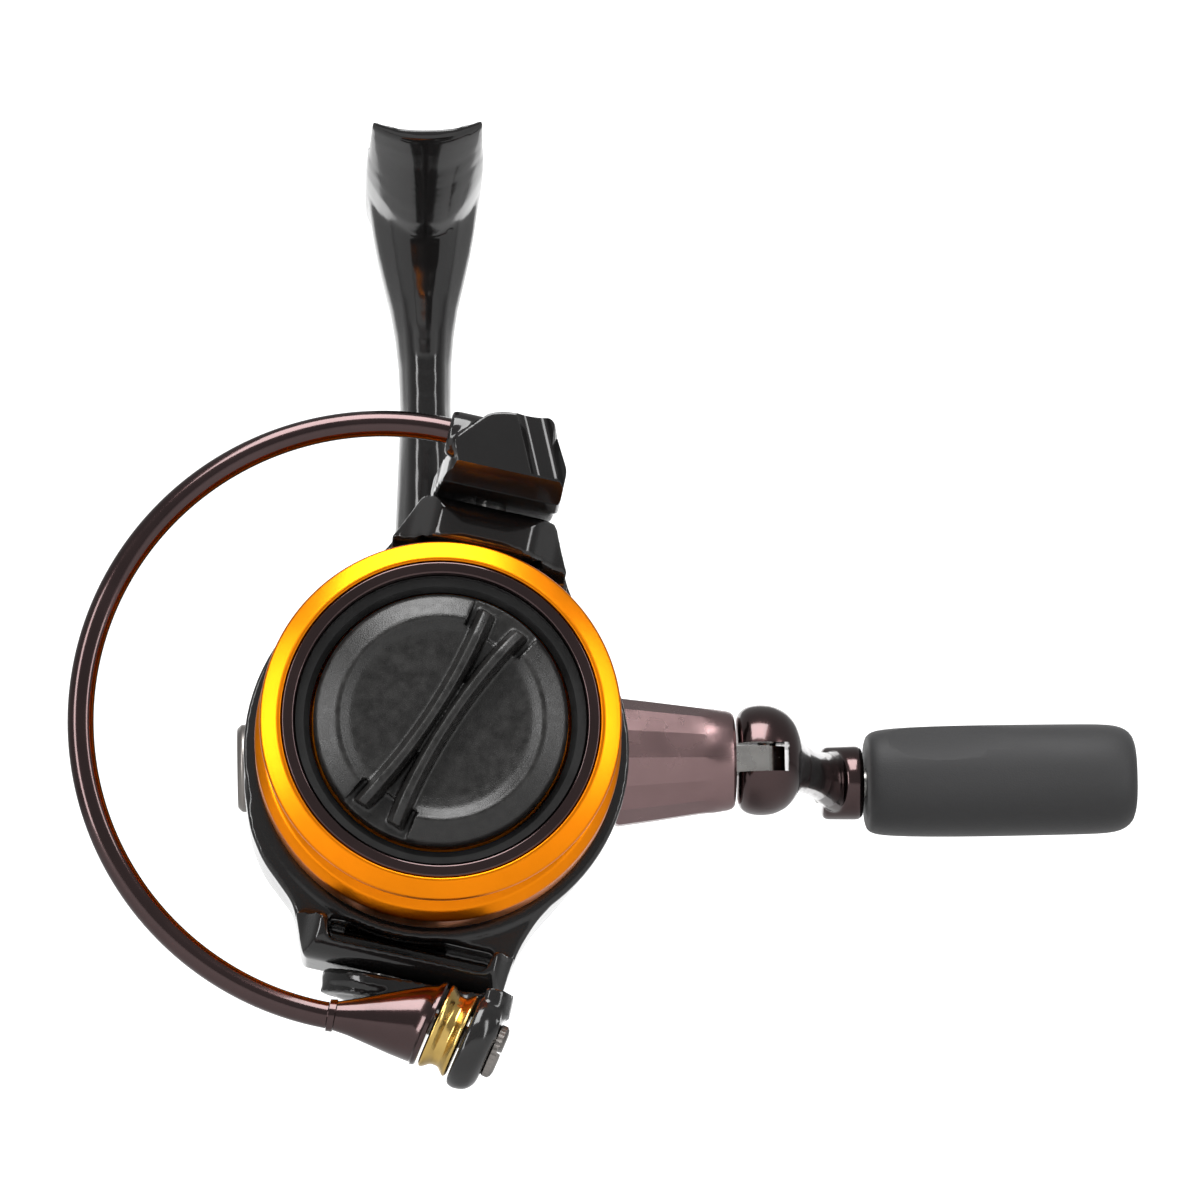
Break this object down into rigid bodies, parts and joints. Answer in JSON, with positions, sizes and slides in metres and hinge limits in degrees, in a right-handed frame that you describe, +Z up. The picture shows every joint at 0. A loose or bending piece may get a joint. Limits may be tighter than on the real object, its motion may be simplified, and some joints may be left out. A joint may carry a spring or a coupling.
{
  "type": "spinning reel",
  "caption": "Open-face spinning reel with a folding side handle, flip-over wire bail, turning line roller, screw-down drag on the spool's front and a saddle foot for a rod.",
  "frame": {"origin": "bottom of the foot's saddle, midway along the foot, on the reel's middle plane", "axes": "+Z up into the rod, -Y to the front of the spool, +X out along the drive axis to the handle"},
  "size_m": [0.1489, 0.1272, 0.1258],
  "materials": {
    "gloss_black": "gloss, moulded graphite-filled nylon",
    "orange_anodised": "satin anodised, machined",
    "mauve_anodised": "gloss anodised",
    "knob_black": "fine moulded texture",
    "knob_rubber": "matte soft touch",
    "steel": "machined",
    "brass": "polished",
    "zinc": "plain die-cast zinc",
    "washer_felt": "woven carbon friction washer",
    "seal_rubber": "moulded",
    "grey_metal": "satin"
  },
  "bodies": {
    "body": {"body_housing": "gloss_black", "side_cover": "gloss_black", "side_cover_screws": "steel", "dust_cap": "grey_metal", "drive_bearings": "steel", "pinion_bearing": "steel", "pinion_bushing": "brass", "clutch_ring": "steel", "clutch_rollers": "steel", "clutch_cover": "knob_black", "rotor_brake_ring": "seal_rubber", "slider_guide": "steel", "crank_axle": "steel"},
    "anti_reverse": {"anti_reverse_lever": "knob_black"},
    "drive": {"drive_gear": "zinc", "drive_shaft": "steel", "crank_drive_gear": "zinc", "handle_rod": "steel", "handle_shank": "mauve_anodised"},
    "crank": {"crank_gear": "zinc"},
    "shaft": {"main_shaft": "steel", "crank_slider": "zinc", "slider_screw": "steel", "spool_support_washer": "steel", "click_ratchet": "knob_black", "keyed_drag_washers": "steel"},
    "rotor": {"pinion_gear": "brass", "rotor": "gloss_black", "rotor_nut": "steel", "nut_lock_plate": "steel", "nut_lock_screw": "steel", "clutch_sleeve": "steel", "arm_cover_spring_side": "gloss_black", "arm_cover_roller_side": "gloss_black", "arm_cover_screws": "steel", "bail_pivot_screws": "steel", "bail_spring": "steel"},
    "trip": {"trip_rod": "steel"},
    "bail": {"bail_holder": "gloss_black", "bail_arm": "gloss_black", "bail_wire": "mauve_anodised", "roller_screw": "grey_metal"},
    "line_roller": {"line_roller": "brass"},
    "spool": {"spool_body": "orange_anodised", "spool_trim_ring": "mauve_anodised", "well_seal": "seal_rubber", "drag_washers": "washer_felt", "eared_drag_washer": "steel", "drag_retaining_ring": "steel", "click_pawl": "knob_black", "line_clip": "knob_black"},
    "drag_clamp": {"drag_pressure_washer": "steel", "drag_spring": "steel"},
    "drag_knob": {"drag_knob": "knob_black", "drag_nut": "brass"},
    "handle_arm": {"handle_arm": "mauve_anodised", "fold_pin": "steel", "knob_spindle": "steel"},
    "handle_knob": {"handle_knob": "knob_rubber", "knob_end_cap": "knob_rubber"}
  },
  "joints": [
    {"name": "anti_reverse_switch", "type": "hinge", "parent": "body", "child": "anti_reverse", "pos_m": [0.005, 0.021, -0.0955], "axis": [0, 0, 1], "range_deg": [0, 30]},
    {"name": "handle_turn", "type": "hinge", "parent": "body", "child": "drive", "pos_m": [0, 0.027, -0.07415], "axis": [1, 0, 0], "continuous": true},
    {"name": "crank_gear_turn", "type": "hinge", "parent": "body", "child": "crank", "pos_m": [0, 0.03969, -0.07877], "axis": [1, 0, 0], "continuous": true},
    {"name": "rotor_turn", "type": "hinge", "parent": "body", "child": "rotor", "pos_m": [0, -0.013, -0.0785], "axis": [0, 1, 0], "continuous": true},
    {"name": "main_shaft_slide", "type": "slide", "parent": "body", "child": "shaft", "axis": [0, 1, 0], "range_m": [-0.0105, 0.0015]},
    {"name": "spool_slip", "type": "hinge", "parent": "shaft", "child": "spool", "pos_m": [0, -0.031, -0.0785], "axis": [0, 1, 0], "continuous": true},
    {"name": "drag_clamp_slide", "type": "slide", "parent": "shaft", "child": "drag_clamp", "axis": [0, 1, 0], "range_m": [-0.0012, 0], "deforming": ["drag_spring"]},
    {"name": "drag_knob_turn", "type": "hinge", "parent": "drag_clamp", "child": "drag_knob", "pos_m": [0, -0.041, -0.0785], "axis": [0, 1, 0], "range_deg": [-540, 0]},
    {"name": "bail_swing", "type": "hinge", "parent": "rotor", "child": "bail", "pos_m": [0, -0.021, -0.0785], "axis": [0.2334, 0, 0.9724], "range_deg": [0, 110], "deforming": ["bail_spring"]},
    {"name": "trip_rod_slide", "type": "slide", "parent": "rotor", "child": "trip", "axis": [0, 1, 0], "range_m": [0, 0.003]},
    {"name": "line_roller_turn", "type": "hinge", "parent": "bail", "child": "line_roller", "pos_m": [0.00031, -0.037, -0.11663], "axis": [0.9078, 0, -0.4195], "continuous": true},
    {"name": "handle_fold", "type": "hinge", "parent": "drive", "child": "handle_arm", "pos_m": [0.04575, 0.027, -0.07415], "axis": [0, 0.0698, -0.9976], "range_deg": [-40, 0]},
    {"name": "handle_knob_turn", "type": "hinge", "parent": "handle_arm", "child": "handle_knob", "pos_m": [0.08, 0.07289, -0.07094], "axis": [1, 0, 0], "continuous": true}
  ],
  "couplings": [
    {"joint": "rotor_turn", "follows": "handle_turn", "ratio": -4.875},
    {"joint": "crank_gear_turn", "follows": "handle_turn", "ratio": -0.5},
    {"joint": "drag_clamp_slide", "follows": "drag_knob_turn", "m_per_rad": 0.00012732},
    {"joint": "trip_rod_slide", "follows": "bail_swing", "m_per_rad": 0.0015574}
  ]
}
